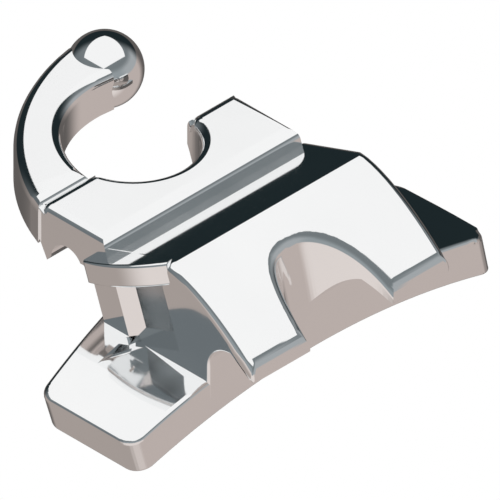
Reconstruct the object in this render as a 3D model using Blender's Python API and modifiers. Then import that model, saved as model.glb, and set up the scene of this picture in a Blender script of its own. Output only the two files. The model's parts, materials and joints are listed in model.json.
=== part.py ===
# Buccal tube for an upper molar, cast in one piece of steel.
#
# Frame, in metres: +X runs along the archwire slot towards the far mouth, +Y is
# gingival, the side of the hook, and +Z is buccal, away from the tooth. The
# origin lies under the slot's axis, midway between the ends of the base and
# level with its lowest edges.

import math

import bmesh
import bpy
from mathutils import Vector

MM = 0.001

# Base pad: a curved plate, bent about an axis along Y to fit the tooth.
PAD_LENGTH = 5.98 * MM            # over the top of its two ends
PAD_END_SLOPE = math.radians(17)  # lean of the end faces
PAD_THICKNESS = 0.506 * MM
PAD_INNER_RADIUS = 9.02 * MM
PAD_FRONT = 1.05 * MM             # occlusal face, distance from the slot's axis
PAD_END_REACH = 0.50 * MM         # gingival reach at the ends
PAD_MID_REACH = 0.90 * MM         # gingival reach in the middle
PAD_MID_HALF = 0.90 * MM          # half the length of the middle's straight edge
PAD_CORNER_RADIUS = 0.24 * MM
PAD_EDGE_ROUND = 0.05 * MM
PAD_STEPS = 40                    # facets along the curve

# Slot: 0.022 by 0.028 inch, turned about X by the torque.
SLOT_HEIGHT = 0.559 * MM
SLOT_DEPTH = 0.711 * MM
SLOT_AXIS_Z = 1.319 * MM
TORQUE = math.radians(19.7)
FUNNEL_CHAMFER = 0.166 * MM

# Body round the slot.
BODY_LENGTH = 3.214 * MM
BODY_OFFSET = -0.114 * MM         # body's middle along X, from the base's middle
ROOF_THICKNESS = 0.300 * MM
GINGIVAL_WALL = 0.530 * MM
ROOF_OCCLUSAL_REACH = 0.590 * MM  # from the slot's axis to the start of the wings
ROOF_GINGIVAL_REACH = 0.317 * MM  # from the slot's axis to the foot of the block

# Lip of the roof, a bow that stands out over the near mouth.
LIP_PROJECTION = 0.276 * MM
LIP_RADIUS = 1.737 * MM
LIP_CENTRE_P = -0.360 * MM
LIP_GINGIVAL_REACH = 0.60 * MM

# Occlusal tie wings.
WING_REACH = 1.446 * MM
WING_DROP = 0.856 * MM
WING_CURVE_POWER = 1.6
WING_TIP_HEIGHT = 0.186 * MM
OCCLUSAL_GROOVE_RADIUS = 0.343 * MM
OCCLUSAL_GROOVE_Z = 1.000 * MM

# U-shaped notch between the occlusal wings.
NOTCH_HALF_WIDTH_NEAR = 0.66 * MM
NOTCH_HALF_WIDTH_FAR = 0.74 * MM
NOTCH_POWER_NEAR = 2.9
NOTCH_POWER_FAR = 1.8
NOTCH_DEPTH = 0.91 * MM
NOTCH_SLOPE = 0.256               # Y travelled for each unit of Z

# Gingival block with its two tie wings.
BLOCK_TOP_Z = 2.114 * MM
BLOCK_REACH = 1.606 * MM
BLOCK_NEAR_OVERHANG = 0.178 * MM
BLOCK_FAR_SETBACK = 0.172 * MM
BLOCK_EDGE_ROUND = 0.16 * MM
GINGIVAL_GROOVE_RADIUS = 0.257 * MM
GINGIVAL_GROOVE_Y = 1.106 * MM
GINGIVAL_GROOVE_Z = 1.471 * MM
GINGIVAL_TIP_Z = 1.386 * MM
GINGIVAL_TIP_INSET = 0.172 * MM

# C-shaped cut between the gingival wings.
CUT_RADIUS = 0.786 * MM
CUT_X = -0.193 * MM
CUT_Y = 1.720 * MM
CUT_FLOOR_Z = 1.10 * MM

# Hook: a flat arm that bends round to a ball.
ARM_THICKNESS = 0.54 * MM
ARM_TOP_Z = 2.114 * MM
ARM_EDGE_ROUND = 0.11 * MM
BALL_RADIUS = 0.467 * MM
BALL_CENTRE = Vector((0.843, 3.226, 1.829)) * MM
SEAM_VALLEY = 0.05 * MM           # valley between the block and the arm

BIG = 4.0 * MM                    # reach of a cutter past what it cuts


# Places that follow from the sizes above.
BODY_NEAR = BODY_OFFSET - BODY_LENGTH / 2
BODY_FAR = BODY_OFFSET + BODY_LENGTH / 2
ROOF_TOP_Q = SLOT_DEPTH / 2 + ROOF_THICKNESS
PAD_FOOT = PAD_LENGTH / 2 - PAD_THICKNESS * math.sin(PAD_END_SLOPE)
PAD_AXIS_Z = -math.sqrt(PAD_INNER_RADIUS**2 - PAD_FOOT**2)
PAD_END_TOP = PAD_AXIS_Z + math.sqrt((PAD_INNER_RADIUS + PAD_THICKNESS)**2 - (PAD_LENGTH / 2)**2)
BODY_ROOT_Z = PAD_AXIS_Z + PAD_INNER_RADIUS + PAD_THICKNESS / 4


def slot_frame(p, q):
    """Y and Z of a point p occlusally and q buccally from the slot's axis."""
    y = -math.cos(TORQUE) * p + math.sin(TORQUE) * q
    z = SLOT_AXIS_Z + math.sin(TORQUE) * p + math.cos(TORQUE) * q
    return y, z


def arc(centre, radius, start, end, steps):
    """Points on a circle, angles in degrees."""
    points = []
    for i in range(steps + 1):
        angle = math.radians(start + (end - start) * i / steps)
        points.append((centre[0] + radius * math.cos(angle), centre[1] + radius * math.sin(angle)))
    return points


def arc_through(a, b, c, steps):
    """Points on the circle through a, b and c, from a to c."""
    (ax, ay), (bx, by), (cx, cy) = a, b, c
    d = 2 * (ax * (by - cy) + bx * (cy - ay) + cx * (ay - by))
    ux = ((ax**2 + ay**2) * (by - cy) + (bx**2 + by**2) * (cy - ay) + (cx**2 + cy**2) * (ay - by)) / d
    uy = ((ax**2 + ay**2) * (cx - bx) + (bx**2 + by**2) * (ax - cx) + (cx**2 + cy**2) * (bx - ax)) / d
    radius = math.hypot(ax - ux, ay - uy)
    start = math.atan2(ay - uy, ax - ux)
    middle = math.atan2(by - uy, bx - ux)
    end = math.atan2(cy - uy, cx - ux)
    turn = 2 * math.pi
    forward = (end - start) % turn
    if (middle - start) % turn > forward:
        forward -= turn
    return [
        (ux + radius * math.cos(start + forward * i / steps), uy + radius * math.sin(start + forward * i / steps))
        for i in range(steps + 1)
    ]


def rounded(points, radii, steps=6):
    """A closed outline with its corners rounded."""
    result = []
    count = len(points)
    for i, radius in enumerate(radii):
        here = Vector(points[i])
        if radius <= 0:
            result.append(tuple(here))
            continue
        before = (Vector(points[i - 1]) - here).normalized()
        after = (Vector(points[(i + 1) % count]) - here).normalized()
        half = before.angle(after) / 2
        centre = here + (before + after).normalized() * (radius / math.sin(half))
        first = here + before * (radius / math.tan(half)) - centre
        last = here + after * (radius / math.tan(half)) - centre
        for k in range(steps + 1):
            spoke = first.lerp(last, k / steps).normalized() * radius
            result.append(tuple(centre + spoke))
    return result


def prism(name, outline, place, low, high, collection):
    """Extrude a closed outline from low to high; place maps (u, v, w) to a point."""
    mesh = bpy.data.meshes.new(name)
    bm = bmesh.new()
    ring = [bm.verts.new(place(u, v, low)) for u, v in outline]
    cap = bm.faces.new(ring)
    grown = bmesh.ops.extrude_face_region(bm, geom=[cap])
    start = {vert: point for vert, point in zip(ring, outline)}
    for item in grown["geom"]:
        if isinstance(item, bmesh.types.BMVert):
            below = next(e.other_vert(item) for e in item.link_edges if e.other_vert(item) in start)
            u, v = start[below]
            item.co = place(u, v, high)
    bmesh.ops.recalc_face_normals(bm, faces=bm.faces)
    bm.to_mesh(mesh)
    bm.free()
    obj = bpy.data.objects.new(name, mesh)
    collection.objects.link(obj)
    return obj


def along_x(u, v, w):
    return (w, u, v)


def along_y(u, v, w):
    return (u, w, v)


def along_z(u, v, w):
    return (u, v, w)


def normal_to_roof(u, v, w):
    y, z = slot_frame(v, w)
    return (u, y, z)


def combine(target, other, operation):
    """Apply a Boolean of other to target."""
    modifier = target.modifiers.new(operation.lower(), "BOOLEAN")
    modifier.object = other
    modifier.operation = operation
    modifier.solver = "EXACT"


def soften(obj, width, segments=3):
    """Round the sharp edges of a simple solid."""
    modifier = obj.modifiers.new("edges", "BEVEL")
    modifier.width = width
    modifier.segments = segments
    modifier.limit_method = "ANGLE"
    modifier.angle_limit = math.radians(40)


def new_collection(name):
    collection = bpy.data.collections.new(name)
    bpy.context.scene.collection.children.link(collection)
    return collection


def steel():
    material = bpy.data.materials.new("polished_steel")
    material.use_nodes = True
    shader = material.node_tree.nodes["Principled BSDF"]
    shader.inputs["Base Color"].default_value = (0.80, 0.81, 0.82, 1.0)
    shader.inputs["Metallic"].default_value = 1.0
    shader.inputs["Roughness"].default_value = 0.08
    return material


def pad_solid(name, collection, cutters):
    """A plate bent about Y, trimmed to an outline whose ends lean inwards below."""
    sweep = math.degrees(PAD_LENGTH / PAD_INNER_RADIUS)
    outer = PAD_INNER_RADIUS + PAD_THICKNESS
    outline = arc((0, PAD_AXIS_Z), PAD_INNER_RADIUS, 90 + sweep / 2, 90 - sweep / 2, PAD_STEPS)
    outline += arc((0, PAD_AXIS_Z), outer, 90 - sweep / 2, 90 + sweep / 2, PAD_STEPS)
    pad = prism(name, outline, along_y, -BIG, BIG, collection)
    half = PAD_LENGTH / 2
    plan = [
        (-half, -PAD_FRONT), (half, -PAD_FRONT), (half, PAD_END_REACH),
        (PAD_MID_HALF, PAD_MID_REACH), (-PAD_MID_HALF, PAD_MID_REACH), (-half, PAD_END_REACH),
    ]

    def leaning_in(u, v, w):
        return (u * (1 - (PAD_END_TOP - w) * math.tan(PAD_END_SLOPE) / half), v, w)

    trim = prism(
        "pad_outline", rounded(plan, [PAD_CORNER_RADIUS] * len(plan)), leaning_in,
        -PAD_THICKNESS, PAD_THICKNESS * 4, cutters,
    )
    combine(pad, trim, "INTERSECT")
    soften(pad, PAD_EDGE_ROUND)
    return pad


def body_outline():
    """Section of the body in Y and Z: tube, roof and occlusal wings."""
    front = -PAD_FRONT
    edge_y, edge_z = slot_frame(ROOF_OCCLUSAL_REACH, ROOF_TOP_Q)
    foot = slot_frame(-ROOF_GINGIVAL_REACH, ROOF_TOP_Q)
    wall_p = -(SLOT_HEIGHT / 2 + GINGIVAL_WALL)
    wall_top = slot_frame(wall_p, ROOF_TOP_Q - ROOF_THICKNESS / 2)
    wall_q = (BODY_ROOT_Z - SLOT_AXIS_Z - math.sin(TORQUE) * wall_p) / math.cos(TORQUE)
    wall_low = slot_frame(wall_p, wall_q)
    wing = []
    for i in range(15):
        t = i / 14
        wing.append((edge_y - WING_REACH * t, edge_z - WING_DROP * t**WING_CURVE_POWER))
    tip_y, tip_z = wing[-1]
    wing.append((tip_y, tip_z - WING_TIP_HEIGHT))
    groove_y = front - OCCLUSAL_GROOVE_RADIUS
    groove = arc((groove_y, OCCLUSAL_GROOVE_Z), OCCLUSAL_GROOVE_RADIUS, 90, 0, 8)
    return [wall_top, foot] + wing + groove + [(front, BODY_ROOT_Z), wall_low]


def lip_outline():
    """Plan of the lip in X and the slot's occlusal direction."""
    tip_x = BODY_NEAR - LIP_PROJECTION
    centre_x = tip_x + LIP_RADIUS
    far_p = ROOF_OCCLUSAL_REACH
    near_p = -LIP_GINGIVAL_REACH
    start = 180 - math.degrees(math.asin((far_p - LIP_CENTRE_P) / LIP_RADIUS))
    end = 180 + math.degrees(math.asin((LIP_CENTRE_P - near_p) / LIP_RADIUS))
    bow = arc((centre_x, LIP_CENTRE_P), LIP_RADIUS, start, end, 16)
    inner = BODY_NEAR + ROOF_THICKNESS
    return bow + [(inner, near_p), (inner, far_p)]


def block_outline():
    """Section of the gingival block in Y and Z."""
    foot_y, foot_z = slot_frame(-ROOF_GINGIVAL_REACH, ROOF_TOP_Q)
    tip = (BLOCK_REACH - GINGIVAL_TIP_INSET, GINGIVAL_TIP_Z)
    shoulder = (BLOCK_REACH, BLOCK_TOP_Z - BLOCK_EDGE_ROUND * 2.5)
    corner = arc(
        (BLOCK_REACH - BLOCK_EDGE_ROUND, BLOCK_TOP_Z - BLOCK_EDGE_ROUND), BLOCK_EDGE_ROUND, 90, 0, 6,
    )
    groove = arc((GINGIVAL_GROOVE_Y, GINGIVAL_GROOVE_Z), GINGIVAL_GROOVE_RADIUS, 0, 180, 12)
    inner_y = GINGIVAL_GROOVE_Y - GINGIVAL_GROOVE_RADIUS
    root_z = foot_z - ROOF_THICKNESS
    return [(foot_y, root_z), (foot_y, BLOCK_TOP_Z)] + corner + [shoulder, tip] + groove + [(inner_y, root_z)]


def notch_solid(collection):
    """U-shaped cutter, leaning with the notch's slope."""
    edge_y = slot_frame(ROOF_OCCLUSAL_REACH, ROOF_TOP_Q)[0]
    mouth_y = edge_y - WING_REACH - BIG / 8
    apex_y = edge_y - WING_REACH + NOTCH_DEPTH
    depth = NOTCH_DEPTH
    base_y = apex_y - depth
    outline = [(BODY_OFFSET - NOTCH_HALF_WIDTH_NEAR, mouth_y)]
    steps = 14
    for i in range(steps + 1):
        angle = math.pi / 2 * i / steps
        x = -NOTCH_HALF_WIDTH_NEAR * math.cos(angle) ** (2 / NOTCH_POWER_NEAR)
        y = depth * math.sin(angle) ** (2 / NOTCH_POWER_NEAR)
        outline.append((BODY_OFFSET + x, base_y + y))
    for i in range(steps - 1, -1, -1):
        angle = math.pi / 2 * i / steps
        x = NOTCH_HALF_WIDTH_FAR * math.cos(angle) ** (2 / NOTCH_POWER_FAR)
        y = depth * math.sin(angle) ** (2 / NOTCH_POWER_FAR)
        outline.append((BODY_OFFSET + x, base_y + y))
    outline.append((BODY_OFFSET + NOTCH_HALF_WIDTH_FAR, mouth_y))
    level = 1.90 * MM

    def leaning(u, v, w):
        return (u, v + NOTCH_SLOPE * (w - level), w)

    return prism("notch", outline, leaning, PAD_THICKNESS, BIG, collection)


def slot_cutters(collection):
    """The slot and the funnel at its near mouth."""
    half_p = SLOT_HEIGHT / 2
    half_q = SLOT_DEPTH / 2
    box = [(-half_p, -half_q), (half_p, -half_q), (half_p, half_q), (-half_p, half_q)]

    def turned(u, v, w):
        y, z = slot_frame(u, v)
        return (w, y, z)

    slot = prism("slot", box, turned, -BIG, BIG, collection)
    wide = half_p + FUNNEL_CHAMFER * 2
    low = half_q + FUNNEL_CHAMFER * 2
    mouth = [(-wide, -low), (wide, -low), (wide, half_q), (-wide, half_q)]
    funnel = prism("funnel", mouth, turned, BODY_NEAR - FUNNEL_CHAMFER, BODY_NEAR + FUNNEL_CHAMFER, collection)
    inner = BODY_NEAR + FUNNEL_CHAMFER
    for corner in funnel.data.vertices:
        if abs(corner.co.x - inner) < FUNNEL_CHAMFER:
            p = half_p if corner.index % 4 in (1, 2) else -half_p
            q = -half_q if corner.index % 4 in (0, 1) else half_q
            y, z = slot_frame(p, q)
            corner.co = (inner, y, z)
    return slot, funnel


def arm_solid(collection):
    """The hook's flat arm, between an outer and an inner arc."""
    root_y = BLOCK_REACH - SEAM_VALLEY
    outer = arc_through((-1.93 * MM, root_y), (-0.84 * MM, 3.005 * MM), (0.61 * MM, 3.59 * MM), 20)
    inner = arc_through((0.61 * MM, 2.81 * MM), (-0.46 * MM, 2.60 * MM), (-1.06 * MM, root_y), 20)
    arm = prism("arm", outer + inner, along_z, ARM_TOP_Z - ARM_THICKNESS, ARM_TOP_Z, collection)
    soften(arm, ARM_EDGE_ROUND)
    return arm


def ball_solid(collection):
    mesh = bpy.data.meshes.new("ball")
    bm = bmesh.new()
    bmesh.ops.create_uvsphere(bm, u_segments=32, v_segments=20, radius=BALL_RADIUS)
    bmesh.ops.translate(bm, verts=bm.verts, vec=BALL_CENTRE)
    bm.to_mesh(mesh)
    bm.free()
    obj = bpy.data.objects.new("ball", mesh)
    collection.objects.link(obj)
    return obj


def neck_solid(collection):
    """What joins the block to the arm under the valley between them."""
    low = ARM_TOP_Z - ARM_THICKNESS + ARM_EDGE_ROUND
    high = ARM_TOP_Z - ARM_EDGE_ROUND
    outline = [
        (-1.85 * MM, BLOCK_REACH - 0.4 * MM), (-1.10 * MM, BLOCK_REACH - 0.4 * MM),
        (-1.10 * MM, BLOCK_REACH + 0.3 * MM), (-1.60 * MM, BLOCK_REACH + 0.3 * MM),
    ]
    return prism("neck", outline, along_z, low, high, collection)


def build():
    for obj in list(bpy.data.objects):
        bpy.data.objects.remove(obj, do_unlink=True)
    parts = new_collection("buccal_tube_parts")
    helpers = new_collection("helpers")

    tube = pad_solid("buccal_tube", parts, helpers)
    body = prism("body", body_outline(), along_x, BODY_NEAR, BODY_FAR, helpers)
    lip = prism(
        "lip", lip_outline(), normal_to_roof, ROOF_TOP_Q - ROOF_THICKNESS, ROOF_TOP_Q, helpers,
    )
    block = prism(
        "block", block_outline(), along_x,
        BODY_NEAR - BLOCK_NEAR_OVERHANG, BODY_FAR - BLOCK_FAR_SETBACK, helpers,
    )
    cut = prism(
        "gingival_cut", arc((CUT_X, CUT_Y), CUT_RADIUS, 0, 352.5, 47), along_z, CUT_FLOOR_Z, BIG, helpers,
    )
    combine(block, cut, "DIFFERENCE")
    for extra in (body, lip, block, neck_solid(helpers), arm_solid(helpers), ball_solid(helpers)):
        combine(tube, extra, "UNION")
    for cutter in (notch_solid(helpers), *slot_cutters(helpers)):
        combine(tube, cutter, "DIFFERENCE")

    for helper in helpers.objects:
        helper.hide_render = True
        helper.display_type = "WIRE"
    tube.data.materials.append(steel())
    for face in tube.data.polygons:
        face.use_smooth = True


build()
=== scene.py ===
import json
import math

import bmesh
import bpy
from mathutils import Matrix, Vector

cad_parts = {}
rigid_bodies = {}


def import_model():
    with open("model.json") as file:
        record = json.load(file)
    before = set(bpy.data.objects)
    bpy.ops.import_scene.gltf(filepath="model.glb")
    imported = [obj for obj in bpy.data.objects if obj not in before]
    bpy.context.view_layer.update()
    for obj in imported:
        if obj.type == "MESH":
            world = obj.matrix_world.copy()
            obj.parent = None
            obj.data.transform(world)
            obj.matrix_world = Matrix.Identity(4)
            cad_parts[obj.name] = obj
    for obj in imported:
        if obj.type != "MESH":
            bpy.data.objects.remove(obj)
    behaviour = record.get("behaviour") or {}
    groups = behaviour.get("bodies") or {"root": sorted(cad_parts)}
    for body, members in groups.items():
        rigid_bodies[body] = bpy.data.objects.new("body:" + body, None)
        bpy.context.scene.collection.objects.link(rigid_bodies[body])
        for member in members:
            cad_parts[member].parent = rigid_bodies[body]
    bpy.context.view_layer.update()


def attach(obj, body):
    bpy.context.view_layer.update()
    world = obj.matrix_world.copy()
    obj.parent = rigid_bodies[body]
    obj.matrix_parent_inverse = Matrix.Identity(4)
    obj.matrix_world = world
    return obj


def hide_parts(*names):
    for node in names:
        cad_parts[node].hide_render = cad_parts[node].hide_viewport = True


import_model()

MM = 0.001

# Photograph: parallel view from azimuth -45, along the diagonal of a cube.
IMAGE_PIXELS = 500
PIXELS_PER_MM = 85.73
ANCHOR_PIXEL = (113.3, 254.3)
CAMERA_DISTANCE = 60 * MM
CLIP_NEAR = 1 * MM
CLIP_FAR = 1000 * MM

# Sizes. The slot has a standard opening, and the rest is measured or judged against it.

# Base pad: a curved plate, bent about an axis along Y to fit the tooth. Both of
# its ends lean: the foot of each lies nearer the far end than its top does.
PAD_NEAR_FOOT = -2.840 * MM
PAD_FAR_FOOT = 3.050 * MM
PAD_NEAR_SLOPE = math.radians(17)
PAD_FAR_SLOPE = math.radians(12)
PAD_THICKNESS = 0.536 * MM
PAD_INNER_RADIUS = 10.2 * MM
PAD_FRONT = 1.05 * MM             # occlusal face, distance from the slot's axis
PAD_END_REACH = 0.50 * MM         # gingival reach at the ends
PAD_MID_REACH = 0.90 * MM         # gingival reach in the middle
PAD_MID_HALF = 0.90 * MM          # half the length of the middle's straight edge
PAD_CORNER_RADIUS = 0.24 * MM
PAD_STEPS = 120                   # facets along the curve
PAD_OVERSIZE = 1.1                # the untrimmed plate's arc, over the arc between its feet
PAD_TRIM_TOP = PAD_THICKNESS * 4  # top of the solid that trims it

# Slot: 0.022 by 0.028 inch, turned about X by the torque.
SLOT_HEIGHT = 0.559 * MM
SLOT_DEPTH = 0.711 * MM
SLOT_AXIS_Z = 1.349 * MM
TORQUE = math.radians(19.7)
FUNNEL_CHAMFER = 0.166 * MM
FUNNEL_LEAD = FUNNEL_CHAMFER / 8  # the widened mouth starts to narrow this far outside

# Body round the slot.
BODY_LENGTH = 3.264 * MM
BODY_OFFSET = -0.089 * MM         # body's middle along X, from the base's middle
ROOF_THICKNESS = 0.300 * MM
GINGIVAL_WALL = 0.530 * MM
ROOF_OCCLUSAL_REACH = 0.590 * MM  # from the slot's axis to the start of the wings
ROOF_GINGIVAL_REACH = 0.317 * MM  # from the slot's axis to the foot of the block

# Lip of the roof, a bow that stands out over the near mouth.
LIP_PROJECTION = 0.276 * MM
LIP_RADIUS = 1.737 * MM
LIP_CENTRE_P = -0.360 * MM
LIP_GINGIVAL_REACH = 0.60 * MM

# Occlusal tie wings.
WING_REACH = 1.446 * MM
WING_DROP = 0.856 * MM
WING_CURVE_POWER = 1.6
WING_TIP_HEIGHT = 0.186 * MM
OCCLUSAL_GROOVE_RADIUS = 0.343 * MM
OCCLUSAL_GROOVE_Z = 1.030 * MM

# U-shaped notch between the occlusal wings.
NOTCH_X = -0.114 * MM
NOTCH_LEVEL_Z = 1.930 * MM        # height at which the depth and place are measured
NOTCH_HALF_WIDTH_NEAR = 0.66 * MM
NOTCH_HALF_WIDTH_FAR = 0.74 * MM
NOTCH_POWER_NEAR = 2.9
NOTCH_POWER_FAR = 1.8
NOTCH_DEPTH = 0.91 * MM
NOTCH_SLOPE = 0.256               # Y travelled for each unit of Z

# Gingival block with its two tie wings.
BLOCK_TOP_Z = 2.070 * MM
BLOCK_WALL_SLOPE = TORQUE         # the wall that rises from the roof stands square to it
BLOCK_REACH = 1.681 * MM
BLOCK_NEAR_OVERHANG = 0.103 * MM
BLOCK_FAR_SETBACK = 0.147 * MM
BLOCK_EDGE_ROUND = 0.16 * MM
BLOCK_SHOULDER_DROP = BLOCK_EDGE_ROUND * 2.5
GINGIVAL_GROOVE_RADIUS = 0.257 * MM
GINGIVAL_GROOVE_Y = 1.181 * MM
GINGIVAL_GROOVE_Z = 1.426 * MM
GINGIVAL_TIP_Z = 1.341 * MM
GINGIVAL_TIP_INSET = 0.172 * MM

# C-shaped cut between the gingival wings.
CUT_RADIUS = 0.786 * MM
CUT_X = -0.118 * MM
CUT_Y = 1.795 * MM
CUT_FLOOR_Z = 1.055 * MM

# Hook: a flat arm between two arcs, each through a root, a middle and an end
# point, that bends round to a ball.
ARM_THICKNESS = 0.54 * MM
ARM_OUTER_ROOT_X = -1.850 * MM
ARM_OUTER_MIDDLE = (-0.765 * MM, 3.080 * MM)
ARM_OUTER_END_Y = 3.690 * MM
ARM_INNER_ROOT_X = -0.985 * MM
ARM_INNER_MIDDLE = (-0.385 * MM, 2.675 * MM)
ARM_INNER_END_Y = 2.912 * MM
ARM_END_X = 0.685 * MM
BALL_RADIUS = 0.467 * MM
BALL_REACH = 0.233 * MM           # ball's centre past the arm's end
SEAM_VALLEY = 0.05 * MM           # valley between the block and the arm
NECK_INSET = 0.08 * MM            # what joins them stays this far inside the arm
NECK_REACH = 0.35 * MM
NECK_LEAN = 0.35 * MM             # its outer side follows the arm's arc

CURVE_STEPS = 24                  # facets along each curved edge
CORNER_STEPS = 12
CUT_STEPS = 120
BALL_SEGMENTS = 96
BALL_RINGS = 64
FLARE_STEPS = 6                   # of the rounded edge that the notch's cutter leaves
RIM_ROUNDS = 12                   # repeats that settle the height of that edge
WING_STEPS = 12                   # each longer than the edges' rounding
BIG = 4.0 * MM                    # reach of a cutter, past all that it cuts

# Places that follow from the sizes above.
BODY_NEAR = BODY_OFFSET - BODY_LENGTH / 2
BODY_FAR = BODY_OFFSET + BODY_LENGTH / 2
ROOF_TOP_Q = SLOT_DEPTH / 2 + ROOF_THICKNESS
PAD_AXIS_X = (PAD_FAR_FOOT + PAD_NEAR_FOOT) / 2
PAD_HALF = (PAD_FAR_FOOT - PAD_NEAR_FOOT) / 2
PAD_AXIS_Z = -math.sqrt(PAD_INNER_RADIUS**2 - PAD_HALF**2)
BODY_ROOT_Z = PAD_AXIS_Z + PAD_INNER_RADIUS + PAD_THICKNESS / 4
ARM_TOP_Z = BLOCK_TOP_Z
BALL_CENTRE = Vector((
    ARM_END_X + BALL_REACH, (ARM_OUTER_END_Y + ARM_INNER_END_Y) / 2, ARM_TOP_Z - ARM_THICKNESS / 2,
))

# Finish of the edges.
PROUD = 0.003 * MM                # keeps faces that would lie in one plane apart
FOOT_OVERLAP = 0.045 * MM         # the roof runs on this far under the block
TOP_ROUND = 0.125 * MM            # wings, block and arm
PAD_TOP_ROUND = 0.07 * MM
LOW_ROUND = 0.045 * MM
END_CLEARANCE = 1.3 * TOP_ROUND   # the arm's arcs have no points nearer its ends
BEVEL_SEGMENTS = 5
SHARP_ANGLE = math.radians(35)
FLAT_ANGLE = math.radians(0.05)   # faces that meet at less than this become one
SMOOTH_ANGLE = math.radians(32)
NORMAL_WEIGHT = 90                # how far the large faces lead the shading
NORMAL_THRESHOLD = 0.0001
TOP_FACE_Z = 0.5                  # a face whose normal rises more than this is a top
WORK_SCALE = 1000.0               # edges are rounded in millimetres

# Distances in the millimetres that edges are rounded in.
MERGE_BEFORE_MM = 0.004           # points nearer than this are joined before the rounding
MERGE_AFTER_MM = 0.0005           # and after it
ROOT_MARGIN_MM = 0.1              # the body's front edges stay sharp up to here above its root
FOOT_MARGIN_MM = 0.02             # and its edges stay sharp this near the block's foot
MOUTH_MARGIN_MM = 0.2             # the mouth's groove keeps this far from the pad's rim
MOUTH_GINGIVAL_Y_MM = 0.3         # and ends here
PAD_FOOT_TOP_MM = 0.1             # edges below this are the pad's lowest

# Studio, as sRGB colours read off the photograph's reflections.
SOFTBOX_WHITE = (252, 252, 252)
WALL_FAR = (30, 40, 43)
WALL_CAMERA = (148, 156, 160)
WALL_RIGHT = (165, 170, 173)
WALL_LEFT = (110, 117, 121)
WALL_HIGH = (118, 125, 128)
FLOOR_RIGHT = (190, 178, 173)
FLOOR_LEFT = (168, 158, 153)
FLOOR_CAMERA = (226, 217, 213)
FLOOR_FAR = (96, 92, 90)
SOFTBOX_SPREAD = 1.06             # half width of the overhead panel over its height
SOFTBOX_FRONT_CUT = 1.12          # it reaches this many times less far towards -Y
WHITE = (1.0, 1.0, 1.0, 1.0)

# Where one part of the studio gives way to the next: on the direction's X, Y and
# Z for a unit vector, with half the width over which the two mix.
SIDE_SOFTNESS = 0.35
END_WALL_EDGE = 0.75
END_WALL_SOFTNESS = 0.30
HIGH_WALL_EDGE = 0.40
HIGH_WALL_SOFTNESS = 0.15
HORIZON_SOFTNESS = 0.04
SOFTBOX_SOFTNESS = 0.02

# Steel: tone and gloss vary a little, in soft patches.
STEEL_DARK = (0.90, 0.905, 0.91, 1.0)
STEEL_LIGHT = (0.95, 0.955, 0.955, 1.0)
STEEL_SMOOTHEST = 0.03
STEEL_ROUGHEST = 0.09
PATCH_SCALE = 900.0
PATCH_DETAIL = 3.0

FLOOR_RADIUS = 400 * MM
FLOOR_SIDES = 64
FLOOR_DROP = 0.02 * MM            # below the base's lowest edges
BOUNCES = 24                      # enough for the reflections inside the slot


def linear(colour):
    """An sRGB colour of 0 to 255 as linear RGBA."""
    values = []
    for channel in colour:
        c = channel / 255
        values.append(c / 12.92 if c <= 0.04045 else ((c + 0.055) / 1.055) ** 2.4)
    return (*values, 1.0)


def slot_frame(p, q):
    """Y and Z of a point p occlusally and q buccally from the slot's axis."""
    y = -math.cos(TORQUE) * p + math.sin(TORQUE) * q
    z = SLOT_AXIS_Z + math.sin(TORQUE) * p + math.cos(TORQUE) * q
    return y, z


def arc(centre, radius, start, end, steps):
    """Points on a circle, angles in degrees."""
    points = []
    for i in range(steps + 1):
        angle = math.radians(start + (end - start) * i / steps)
        points.append((centre[0] + radius * math.cos(angle), centre[1] + radius * math.sin(angle)))
    return points


def circle(centre, radius, steps):
    """Points all round a circle."""
    return arc(centre, radius, 0, 360 - 360 / steps, steps - 1)


def arc_through(a, b, c, steps):
    """Points on the circle through a, b and c, from a to c."""
    (ax, ay), (bx, by), (cx, cy) = a, b, c
    d = 2 * (ax * (by - cy) + bx * (cy - ay) + cx * (ay - by))
    ux = ((ax**2 + ay**2) * (by - cy) + (bx**2 + by**2) * (cy - ay) + (cx**2 + cy**2) * (ay - by)) / d
    uy = ((ax**2 + ay**2) * (cx - bx) + (bx**2 + by**2) * (ax - cx) + (cx**2 + cy**2) * (bx - ax)) / d
    radius = math.hypot(ax - ux, ay - uy)
    start = math.atan2(ay - uy, ax - ux)
    middle = math.atan2(by - uy, bx - ux)
    end = math.atan2(cy - uy, cx - ux)
    turn = 2 * math.pi
    forward = (end - start) % turn
    if (middle - start) % turn > forward:
        forward -= turn
    points = []
    for i in range(steps + 1):
        angle = start + forward * i / steps
        points.append((ux + radius * math.cos(angle), uy + radius * math.sin(angle)))
    return points


def rounded(points, radius):
    """A closed outline with its corners rounded."""
    result = []
    for i, point in enumerate(points):
        here = Vector(point)
        before = (Vector(points[i - 1]) - here).normalized()
        after = (Vector(points[(i + 1) % len(points)]) - here).normalized()
        half = before.angle(after) / 2
        centre = here + (before + after).normalized() * (radius / math.sin(half))
        first = here + before * (radius / math.tan(half)) - centre
        last = here + after * (radius / math.tan(half)) - centre
        for k in range(CORNER_STEPS + 1):
            spoke = first.lerp(last, k / CORNER_STEPS).normalized() * radius
            result.append(tuple(centre + spoke))
    return result


def loft(name, rings, collection):
    """A solid through rings that have the same number of points."""
    mesh = bpy.data.meshes.new(name)
    bm = bmesh.new()
    rows = [[bm.verts.new(point) for point in ring] for ring in rings]
    bm.faces.new(rows[0])
    bm.faces.new(rows[-1])
    for below, above in zip(rows, rows[1:]):
        for i in range(len(below)):
            bm.faces.new((below[i - 1], below[i], above[i], above[i - 1]))
    bmesh.ops.recalc_face_normals(bm, faces=bm.faces)
    bm.to_mesh(mesh)
    bm.free()
    obj = bpy.data.objects.new(name, mesh)
    collection.objects.link(obj)
    return obj


def prism(name, outline, place, low, high, collection):
    """Extrude a closed outline from low to high; place maps (u, v, w) to a point."""
    return loft(name, [[place(u, v, w) for u, v in outline] for w in (low, high)], collection)


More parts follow.
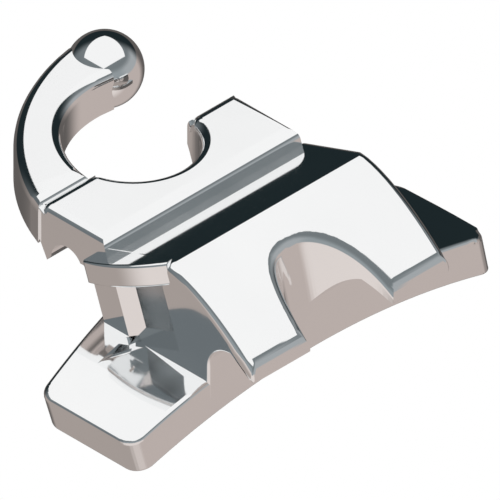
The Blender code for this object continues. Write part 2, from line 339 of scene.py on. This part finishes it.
def along_x(u, v, w):
    """Places an outline's Y and Z at X = w."""
    return (w, u, v)


def along_y(u, v, w):
    """Places an outline's X and Z at Y = w."""
    return (u, w, v)


def along_z(u, v, w):
    """Places an outline's X and Y at Z = w."""
    return (u, v, w)


def normal_to_roof(u, v, w):
    """Places a plan in X and the slot's occlusal direction, w from the slot's axis."""
    y, z = slot_frame(v, w)
    return (u, y, z)


def combine(target, other, operation):
    """Apply a Boolean of other to target."""
    modifier = target.modifiers.new(operation.lower(), "BOOLEAN")
    modifier.object = other
    modifier.operation = operation
    modifier.solver = "EXACT"


def new_collection(name):
    """An empty collection in the scene."""
    collection = bpy.data.collections.new(name)
    bpy.context.scene.collection.children.link(collection)
    return collection


def pad_solid(name, collection):
    """A plate bent about Y, trimmed to an outline whose ends lean."""
    sweep = math.degrees(math.asin(PAD_HALF / PAD_INNER_RADIUS)) * PAD_OVERSIZE
    outer = PAD_INNER_RADIUS + PAD_THICKNESS
    centre = (PAD_AXIS_X, PAD_AXIS_Z)
    outline = arc(centre, PAD_INNER_RADIUS, 90 + sweep, 90 - sweep, PAD_STEPS)
    outline += arc(centre, outer, 90 - sweep, 90 + sweep, PAD_STEPS)
    pad = prism(name, outline, along_y, -BIG, BIG, collection)
    plan = [
        (PAD_NEAR_FOOT, -PAD_FRONT), (PAD_FAR_FOOT, -PAD_FRONT), (PAD_FAR_FOOT, PAD_END_REACH),
        (PAD_MID_HALF, PAD_MID_REACH), (-PAD_MID_HALF, PAD_MID_REACH), (PAD_NEAR_FOOT, PAD_END_REACH),
    ]

    def leaning(u, v, w):
        share = (u - PAD_NEAR_FOOT) / (PAD_FAR_FOOT - PAD_NEAR_FOOT)
        slope = (1 - share) * math.tan(PAD_NEAR_SLOPE) + share * math.tan(PAD_FAR_SLOPE)
        return (u - w * slope, v, w)

    trim = prism(
        "pad_outline", rounded(plan, PAD_CORNER_RADIUS), leaning,
        -PAD_THICKNESS, PAD_TRIM_TOP, collection,
    )
    combine(pad, trim, "INTERSECT")
    return pad


def body_outline():
    """Section of the body in Y and Z: tube, roof and occlusal wings."""
    front = -PAD_FRONT - PROUD
    edge_y, edge_z = slot_frame(ROOF_OCCLUSAL_REACH, ROOF_TOP_Q)
    low_q = ROOF_TOP_Q - ROOF_THICKNESS / 2
    foot = [slot_frame(-ROOF_GINGIVAL_REACH - FOOT_OVERLAP, q) for q in (low_q, ROOF_TOP_Q)]
    wall_p = -(SLOT_HEIGHT / 2 + GINGIVAL_WALL)
    wall_top = slot_frame(wall_p, low_q)
    wall_q = (BODY_ROOT_Z - SLOT_AXIS_Z - math.sin(TORQUE) * wall_p) / math.cos(TORQUE)
    wall_low = slot_frame(wall_p, wall_q)
    wing = []
    for i in range(WING_STEPS + 1):
        t = i / WING_STEPS
        wing.append((edge_y - WING_REACH * t, edge_z - WING_DROP * t**WING_CURVE_POWER))
    tip_y, tip_z = wing[-1]
    wing.append((tip_y, tip_z - WING_TIP_HEIGHT))
    groove_y = front - OCCLUSAL_GROOVE_RADIUS
    groove = arc((groove_y, OCCLUSAL_GROOVE_Z), OCCLUSAL_GROOVE_RADIUS, 90, 0, CURVE_STEPS)
    return [wall_top] + foot + wing + groove + [(front, BODY_ROOT_Z), wall_low]


def lip_outline():
    """Plan of the lip in X and the slot's occlusal direction."""
    tip_x = BODY_NEAR - LIP_PROJECTION
    centre_x = tip_x + LIP_RADIUS
    far_p = ROOF_OCCLUSAL_REACH
    near_p = -LIP_GINGIVAL_REACH
    start = 180 - math.degrees(math.asin((far_p - LIP_CENTRE_P) / LIP_RADIUS))
    end = 180 + math.degrees(math.asin((LIP_CENTRE_P - near_p) / LIP_RADIUS))
    bow = arc((centre_x, LIP_CENTRE_P), LIP_RADIUS, start, end, CURVE_STEPS)
    inner = BODY_NEAR + ROOF_THICKNESS
    return bow + [(inner, near_p), (inner, far_p)]


def block_outline():
    """Section of the gingival block in Y and Z."""
    foot_y, foot_z = slot_frame(-ROOF_GINGIVAL_REACH, ROOF_TOP_Q)
    tip = (BLOCK_REACH - GINGIVAL_TIP_INSET, GINGIVAL_TIP_Z)
    shoulder = (BLOCK_REACH, BLOCK_TOP_Z - BLOCK_SHOULDER_DROP)
    corner_centre = (BLOCK_REACH - BLOCK_EDGE_ROUND, BLOCK_TOP_Z - BLOCK_EDGE_ROUND)
    corner = arc(corner_centre, BLOCK_EDGE_ROUND, 90, 0, CORNER_STEPS)
    root_z = foot_z - ROOF_THICKNESS
    last = 180 - math.degrees(math.asin((root_z - GINGIVAL_GROOVE_Z) / GINGIVAL_GROOVE_RADIUS))
    groove = arc((GINGIVAL_GROOVE_Y, GINGIVAL_GROOVE_Z), GINGIVAL_GROOVE_RADIUS, 0, last, CURVE_STEPS)
    slope = math.tan(BLOCK_WALL_SLOPE)
    wall = [(foot_y + (z - foot_z) * slope, z) for z in (root_z, BLOCK_TOP_Z)]
    return wall + corner + [shoulder, tip] + groove


def wing_z(y):
    """Height of the roof and the wings' outer surface."""
    edge_y, edge_z = slot_frame(ROOF_OCCLUSAL_REACH, ROOF_TOP_Q)
    t = (edge_y - y) / WING_REACH
    if t < 0:
        return edge_z - (y - edge_y) * math.tan(TORQUE)
    return edge_z - WING_DROP * t**WING_CURVE_POWER


def notch_side(half_width, power, apex_y):
    """One side of the notch's plan, from its mouth to its apex."""
    points = []
    for i in range(CURVE_STEPS + 1):
        angle = math.pi / 2 * i / CURVE_STEPS
        x = half_width * math.cos(angle) ** (2 / power)
        y = NOTCH_DEPTH * math.sin(angle) ** (2 / power)
        points.append((NOTCH_X + x, apex_y - NOTCH_DEPTH + y))
    return points


def notch_outline():
    """U-shaped plan of the notch, at the height of its named level."""
    tip_y = slot_frame(ROOF_OCCLUSAL_REACH, ROOF_TOP_Q)[0] - WING_REACH
    mouth_y = tip_y - WING_DROP
    near = notch_side(-NOTCH_HALF_WIDTH_NEAR, NOTCH_POWER_NEAR, tip_y + NOTCH_DEPTH)
    far = notch_side(NOTCH_HALF_WIDTH_FAR, NOTCH_POWER_FAR, tip_y + NOTCH_DEPTH)
    near_mouth = (NOTCH_X - NOTCH_HALF_WIDTH_NEAR, mouth_y)
    far_mouth = (NOTCH_X + NOTCH_HALF_WIDTH_FAR, mouth_y)
    return [near_mouth, *near, *reversed(far[:-1]), far_mouth]


def notch_solid(collection):
    """Cutter of the notch, flared at its top so that it leaves a rounded edge."""
    outline = notch_outline()
    below, rim = [], []
    for x, y in outline:
        below.append((x, y + NOTCH_SLOPE * (PAD_THICKNESS - NOTCH_LEVEL_Z), PAD_THICKNESS))
        z = NOTCH_LEVEL_Z
        for _ in range(RIM_ROUNDS):
            z = wing_z(y + NOTCH_SLOPE * (z - NOTCH_LEVEL_Z)) - TOP_ROUND
        rim.append(Vector((x, y + NOTCH_SLOPE * (z - NOTCH_LEVEL_Z))))
    rings = [below]
    for k in range(FLARE_STEPS + 1):
        angle = math.pi / 2 * k / FLARE_STEPS
        ring = []
        for i, point in enumerate(rim):
            along = rim[min(i + 1, len(rim) - 1)] - rim[max(i - 1, 0)]
            out = Vector((-along.y, along.x)).normalized() * TOP_ROUND * (1 - math.cos(angle))
            x, y = point + out
            ring.append((x, y, wing_z(y) - TOP_ROUND * (1 - math.sin(angle))))
        rings.append(ring)
    rings.append([(x, y, BIG) for x, y, z in rings[-1]])
    cutter = loft("notch", rings, collection)
    bm = bmesh.new()
    bm.from_mesh(cutter.data)
    bmesh.ops.triangulate(bm, faces=bm.faces)
    bm.to_mesh(cutter.data)
    bm.free()
    return cutter


def slot_cutters(collection):
    """The slot, and its near mouth with a chamfer on three sides."""
    half_p = SLOT_HEIGHT / 2
    half_q = SLOT_DEPTH / 2
    wide_p = half_p + FUNNEL_CHAMFER
    wide_q = half_q + FUNNEL_CHAMFER

    def section(p, q, x):
        corners = [(-p, -q), (p, -q), (p, half_q), (-p, half_q)]
        return [(x, *slot_frame(*corner)) for corner in corners]

    slot = loft("slot", [section(half_p, half_q, x) for x in (-BIG, BIG)], collection)
    funnel = loft("funnel", [
        section(wide_p, wide_q, -BIG), section(wide_p, wide_q, BODY_NEAR - FUNNEL_LEAD),
        section(half_p, half_q, BODY_NEAR + FUNNEL_CHAMFER),
    ], collection)
    return slot, funnel


def clear_of_ends(points, root_y):
    """An arc's ends, and those of its points that the rounding of the arm's ends leaves free."""
    free = [
        point for point in points[1:-1]
        if point[1] > root_y + END_CLEARANCE and point[0] < ARM_END_X - END_CLEARANCE
    ]
    return [points[0], *free, points[-1]]


def arm_solid(collection):
    """The hook's flat arm, between an outer and an inner arc."""
    root_y = BLOCK_REACH - SEAM_VALLEY
    outer_end = (ARM_END_X, ARM_OUTER_END_Y)
    inner_end = (ARM_END_X, ARM_INNER_END_Y)
    outer = arc_through((ARM_OUTER_ROOT_X, root_y), ARM_OUTER_MIDDLE, outer_end, 2 * CURVE_STEPS)
    inner = arc_through(inner_end, ARM_INNER_MIDDLE, (ARM_INNER_ROOT_X, root_y), 2 * CURVE_STEPS)
    outline = clear_of_ends(outer, root_y) + clear_of_ends(inner, root_y)
    return prism("arm", outline, along_z, ARM_TOP_Z - ARM_THICKNESS, ARM_TOP_Z, collection)


def ball_solid(collection):
    """The ball past the arm's end."""
    mesh = bpy.data.meshes.new("ball")
    bm = bmesh.new()
    bmesh.ops.create_uvsphere(bm, u_segments=BALL_SEGMENTS, v_segments=BALL_RINGS, radius=BALL_RADIUS)
    bmesh.ops.translate(bm, verts=bm.verts, vec=BALL_CENTRE)
    bm.to_mesh(mesh)
    bm.free()
    obj = bpy.data.objects.new("ball", mesh)
    collection.objects.link(obj)
    return obj


def neck_solid(collection):
    """What joins the block to the arm under the valley between them."""
    low = ARM_TOP_Z - ARM_THICKNESS + TOP_ROUND
    high = ARM_TOP_Z - TOP_ROUND
    inner_x = ARM_INNER_ROOT_X - NECK_INSET / 2
    near_y = BLOCK_REACH - NECK_REACH
    far_y = BLOCK_REACH + NECK_REACH
    outline = [
        (ARM_OUTER_ROOT_X + NECK_INSET, near_y), (inner_x, near_y),
        (inner_x, far_y), (ARM_OUTER_ROOT_X + NECK_LEAN, far_y),
    ]
    return prism("neck", outline, along_z, low, high, collection)


def settle(obj):
    """Turn an object's modifiers into its own mesh."""
    graph = bpy.context.evaluated_depsgraph_get()
    mesh = bpy.data.meshes.new_from_object(obj.evaluated_get(graph))
    obj.modifiers.clear()
    obj.data = mesh


def fillet(obj, top_round, low_round, keep):
    """Round the convex edges that keep accepts, by top_round on a solid's top and low_round elsewhere."""
    settle(obj)
    bm = bmesh.new()
    bm.from_mesh(obj.data)
    bmesh.ops.scale(bm, vec=(WORK_SCALE, WORK_SCALE, WORK_SCALE), verts=bm.verts)
    bmesh.ops.remove_doubles(bm, verts=bm.verts, dist=MERGE_BEFORE_MM)
    bmesh.ops.dissolve_limit(
        bm, angle_limit=FLAT_ANGLE, verts=bm.verts, edges=bm.edges, delimit={"NORMAL"},
    )
    weights = bm.edges.layers.float.new("bevel_weight_edge")
    widest = max(top_round, low_round)
    for edge in bm.edges:
        if len(edge.link_faces) != 2 or not edge.is_convex or edge.calc_face_angle() < SHARP_ANGLE:
            continue
        middle = (edge.verts[0].co + edge.verts[1].co) / 2
        if not keep(middle):
            continue
        steep, flat = sorted(face.normal.z for face in edge.link_faces)
        edge[weights] = (top_round if flat > TOP_FACE_Z > steep else low_round) / widest
    bm.to_mesh(obj.data)
    bm.free()
    bevel = obj.modifiers.new("edges", "BEVEL")
    bevel.limit_method = "WEIGHT"
    bevel.width = widest / MM
    bevel.segments = BEVEL_SEGMENTS
    bevel.use_clamp_overlap = False
    bevel.loop_slide = False
    settle(obj)
    bm = bmesh.new()
    bm.from_mesh(obj.data)
    bmesh.ops.remove_doubles(bm, verts=bm.verts, dist=MERGE_AFTER_MM)
    bmesh.ops.dissolve_degenerate(bm, edges=bm.edges, dist=MERGE_AFTER_MM)
    flats = [face for face in bm.faces if len(face.verts) > 4]
    bmesh.ops.triangulate(bm, faces=flats)
    bmesh.ops.scale(bm, vec=(MM, MM, MM), verts=bm.verts)
    bm.to_mesh(obj.data)
    bm.free()


def shade(obj):
    """Smooth the curves, and keep the flat faces and sharp edges as they are."""
    mesh = obj.data
    mesh.transform(Matrix.Scale(WORK_SCALE, 4))
    mesh.shade_smooth()
    mesh.set_sharp_from_angle(angle=SMOOTH_ANGLE)
    normals = obj.modifiers.new("normals", "WEIGHTED_NORMAL")
    normals.keep_sharp = True
    normals.weight = NORMAL_WEIGHT
    normals.thresh = NORMAL_THRESHOLD
    settle(obj)
    obj.data.transform(Matrix.Scale(1 / WORK_SCALE, 4))


def on_wing(point):
    """True on the outside of the body, away from the slot's mouths."""
    y, z = point.y * MM, point.z * MM - SLOT_AXIS_Z
    p = -math.cos(TORQUE) * y + math.sin(TORQUE) * z
    q = math.sin(TORQUE) * y + math.cos(TORQUE) * z
    on_roof = q > SLOT_DEPTH / 2 + ROOF_THICKNESS / 2
    on_front = p > SLOT_HEIGHT and point.z > BODY_ROOT_Z / MM + ROOT_MARGIN_MM
    return on_roof or on_front


def on_pad_rim(point):
    """True on the pad's outer rim, away from the mouth's groove."""
    across = -PAD_FRONT / MM + MOUTH_MARGIN_MM < point.y < MOUTH_GINGIVAL_Y_MM
    inside = across and point.x > PAD_NEAR_FOOT / MM + MOUTH_MARGIN_MM
    return not inside or point.z < PAD_FOOT_TOP_MM


def tube_casting():
    """The tube as one mesh of closed shapes, which overlap where they join."""
    work = new_collection("tube")
    slot, funnel = slot_cutters(work)
    foot_y = slot_frame(-ROOF_GINGIVAL_REACH, ROOF_TOP_Q)[0]

    pad = pad_solid("tube_casting", work)
    combine(pad, funnel, "DIFFERENCE")
    fillet(pad, PAD_TOP_ROUND, LOW_ROUND, on_pad_rim)

    body = prism("body", body_outline(), along_x, BODY_NEAR, BODY_FAR, work)
    for cutter in (slot, funnel):
        combine(body, cutter, "DIFFERENCE")
    fillet(body, TOP_ROUND, LOW_ROUND, lambda c: c.y < foot_y / MM - FOOT_MARGIN_MM and on_wing(c))
    combine(body, notch_solid(work), "DIFFERENCE")
    settle(body)

    lip = prism(
        "lip", lip_outline(), normal_to_roof,
        ROOF_TOP_Q - ROOF_THICKNESS + PROUD, ROOF_TOP_Q - PROUD, work,
    )
    fillet(lip, LOW_ROUND, LOW_ROUND, lambda c: c.x < BODY_NEAR / MM)

    block = prism(
        "block", block_outline(), along_x,
        BODY_NEAR - BLOCK_NEAR_OVERHANG, BODY_FAR - BLOCK_FAR_SETBACK, work,
    )
    cut = prism("cut", circle((CUT_X, CUT_Y), CUT_RADIUS, CUT_STEPS), along_z, CUT_FLOOR_Z, BIG, work)
    for cutter in (cut, funnel):
        combine(block, cutter, "DIFFERENCE")
    fillet(block, TOP_ROUND, LOW_ROUND, lambda c: c.z > (BLOCK_TOP_Z - LOW_ROUND) / MM)

    arm = arm_solid(work)
    fillet(
        arm, TOP_ROUND, LOW_ROUND,
        lambda c: c.x < (ARM_END_X - TOP_ROUND / 2) / MM and c.z > (ARM_TOP_Z - ARM_THICKNESS / 3) / MM,
    )

    whole = bmesh.new()
    for piece in (pad, body, lip, block, neck_solid(work), arm, ball_solid(work)):
        whole.from_mesh(piece.data)
    whole.to_mesh(pad.data)
    whole.free()
    for obj in list(work.objects):
        if obj != pad:
            bpy.data.objects.remove(obj)
    shade(pad)
    return pad


class Nodes:
    """Short calls for building a node tree."""

    def __init__(self, tree):
        self.tree = tree
        tree.nodes.clear()

    def add(self, kind, **settings):
        node = self.tree.nodes.new(kind)
        for name, value in settings.items():
            setattr(node, name, value)
        return node

    def link(self, source, target):
        self.tree.links.new(source, target)

    def math(self, operation, a, b=None):
        node = self.add("ShaderNodeMath", operation=operation)
        for socket, value in zip(node.inputs, (a, b)):
            if value is None:
                continue
            if isinstance(value, (int, float)):
                socket.default_value = value
            else:
                self.link(value, socket)
        return node.outputs[0]

    def mix(self, factor, a, b):
        node = self.add("ShaderNodeMix", data_type="RGBA")
        self.link(factor, node.inputs["Factor"])
        for socket, value in zip((node.inputs[6], node.inputs[7]), (a, b)):
            if isinstance(value, tuple):
                socket.default_value = value
            else:
                self.link(value, socket)
        return node.outputs[2]

    def step(self, value, edge, softness):
        """0 below edge, 1 above it, with a soft change."""
        node = self.add("ShaderNodeMapRange", interpolation_type="SMOOTHSTEP")
        self.link(value, node.inputs["Value"])
        node.inputs["From Min"].default_value = edge - softness
        node.inputs["From Max"].default_value = edge + softness
        return node.outputs[0]


def studio_world():
    """A white panel overhead, grey walls and a warm floor, seen by reflection only."""
    world = bpy.data.worlds.new("studio")
    world.use_nodes = True
    bpy.context.scene.world = world
    n = Nodes(world.node_tree)
    direction = n.add("ShaderNodeTexCoord").outputs["Generated"]
    split = n.add("ShaderNodeSeparateXYZ")
    n.link(direction, split.inputs[0])
    x, y, z = split.outputs
    right = n.step(n.math("SUBTRACT", x, y), 0.0, SIDE_SOFTNESS)
    past_camera = n.step(n.math("ADD", x, y), -END_WALL_EDGE, END_WALL_SOFTNESS)
    far = n.step(n.math("ADD", x, y), END_WALL_EDGE, END_WALL_SOFTNESS)
    high = n.step(z, HIGH_WALL_EDGE, HIGH_WALL_SOFTNESS)
    side_wall = n.mix(right, linear(WALL_LEFT), linear(WALL_RIGHT))
    walls = n.mix(past_camera, linear(WALL_CAMERA), side_wall)
    walls = n.mix(high, walls, linear(WALL_HIGH))
    walls = n.mix(far, walls, linear(WALL_FAR))
    side_floor = n.mix(right, linear(FLOOR_LEFT), linear(FLOOR_RIGHT))
    floors = n.mix(past_camera, linear(FLOOR_CAMERA), side_floor)
    floors = n.mix(far, floors, linear(FLOOR_FAR))
    room = n.mix(n.step(z, 0.0, HORIZON_SOFTNESS), floors, walls)
    reach_y = n.math("MAXIMUM", y, n.math("MULTIPLY", y, -SOFTBOX_FRONT_CUT))
    widest = n.math("MAXIMUM", n.math("ABSOLUTE", x), reach_y)
    height = n.math("MULTIPLY", z, SOFTBOX_SPREAD)
    panel = n.step(n.math("SUBTRACT", height, widest), 0.0, SOFTBOX_SOFTNESS)
    room = n.mix(panel, room, linear(SOFTBOX_WHITE))
    seen = n.add("ShaderNodeLightPath").outputs["Is Camera Ray"]
    colour = n.mix(seen, room, WHITE)
    background = n.add("ShaderNodeBackground")
    n.link(colour, background.inputs["Color"])
    n.link(background.outputs[0], n.add("ShaderNodeOutputWorld").inputs["Surface"])


def polished_steel():
    """Mirror-polished steel whose tone and gloss vary slightly."""
    material = bpy.data.materials.new("polished_steel")
    material.use_nodes = True
    n = Nodes(material.node_tree)
    place = n.add("ShaderNodeTexCoord").outputs["Object"]
    patches = n.add("ShaderNodeTexNoise")
    n.link(place, patches.inputs["Vector"])
    patches.inputs["Scale"].default_value = PATCH_SCALE
    patches.inputs["Detail"].default_value = PATCH_DETAIL
    tone = n.mix(patches.outputs["Fac"], STEEL_DARK, STEEL_LIGHT)
    shader = n.add("ShaderNodeBsdfPrincipled")
    shader.inputs["Metallic"].default_value = 1.0
    n.link(tone, shader.inputs["Base Color"])
    polish = n.add("ShaderNodeMapRange")
    n.link(patches.outputs["Fac"], polish.inputs["Value"])
    polish.inputs["To Min"].default_value = STEEL_SMOOTHEST
    polish.inputs["To Max"].default_value = STEEL_ROUGHEST
    n.link(polish.outputs[0], shader.inputs["Roughness"])
    n.link(shader.outputs[0], n.add("ShaderNodeOutputMaterial").inputs["Surface"])
    return material


def floor_plane():
    """A floor that is white to the camera and that the metal doesn't reflect."""
    mesh = bpy.data.meshes.new("floor")
    bm = bmesh.new()
    bmesh.ops.create_circle(bm, cap_ends=True, segments=FLOOR_SIDES, radius=FLOOR_RADIUS)
    bm.to_mesh(mesh)
    bm.free()
    floor = bpy.data.objects.new("floor", mesh)
    floor.location.z = -FLOOR_DROP
    bpy.context.scene.collection.objects.link(floor)
    floor.visible_glossy = False
    material = bpy.data.materials.new("pale_floor")
    material.use_nodes = True
    n = Nodes(material.node_tree)
    white = n.add("ShaderNodeEmission")
    white.inputs["Color"].default_value = WHITE
    n.link(white.outputs[0], n.add("ShaderNodeOutputMaterial").inputs["Surface"])
    mesh.materials.append(material)


def camera():
    """The photograph's parallel camera."""
    right = Vector((1, -1, 0)).normalized()
    up = Vector((1, 1, 2)).normalized()
    back = Vector((-1, -1, 1)).normalized()
    y, z = slot_frame(-ROOF_GINGIVAL_REACH, ROOF_TOP_Q)
    anchor = Vector((BODY_NEAR, y, z))
    middle = IMAGE_PIXELS / 2
    target = anchor + right * ((middle - ANCHOR_PIXEL[0]) / PIXELS_PER_MM * MM)
    target += up * ((ANCHOR_PIXEL[1] - middle) / PIXELS_PER_MM * MM)
    data = bpy.data.cameras.new("camera")
    data.type = "ORTHO"
    data.ortho_scale = IMAGE_PIXELS / PIXELS_PER_MM * MM
    data.clip_start = CLIP_NEAR
    data.clip_end = CLIP_FAR
    obj = bpy.data.objects.new("camera", data)
    rotation = Matrix((right, up, back)).transposed().to_4x4()
    obj.matrix_world = Matrix.Translation(target + back * CAMERA_DISTANCE) @ rotation
    bpy.context.scene.collection.objects.link(obj)
    bpy.context.scene.camera = obj


studio_world()
floor_plane()
camera()
casting = tube_casting()
casting.data.materials.append(polished_steel())
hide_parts("buccal_tube")
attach(casting, "root")

bpy.context.scene.view_settings.view_transform = "Standard"
bpy.context.scene.cycles.max_bounces = BOUNCES
bpy.context.scene.cycles.glossy_bounces = BOUNCES
